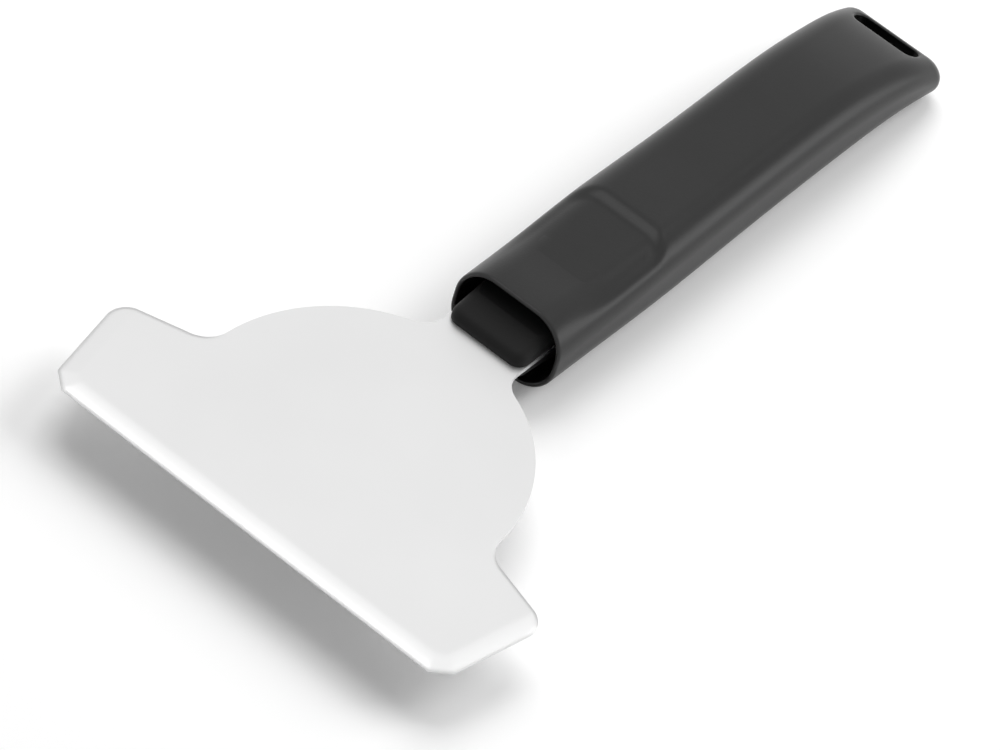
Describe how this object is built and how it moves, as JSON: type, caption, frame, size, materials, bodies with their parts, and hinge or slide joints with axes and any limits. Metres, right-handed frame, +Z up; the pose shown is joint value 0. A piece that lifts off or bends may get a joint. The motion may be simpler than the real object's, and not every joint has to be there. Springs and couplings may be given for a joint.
{
  "type": "grill scraper",
  "caption": "Wide ground-edge steel scraper blade with a round shoulder, on a hollow-mouthed moulded grip with a hanging slot.",
  "frame": {"origin": "middle of the tool's length and width, on the plane of the grip's sole", "axes": "+X across the blade, -Y towards the blade's front edge, +Y towards the hanging slot, +Z up from the sole"},
  "size_m": [0.1356, 0.256, 0.0231],
  "materials": {
    "blade_steel": "satin",
    "core_plastic": "satin",
    "grip_plastic": "satin"
  },
  "bodies": {
    "root": {"blade": "blade_steel", "core": "core_plastic", "grip": "grip_plastic"}
  },
  "joints": []
}
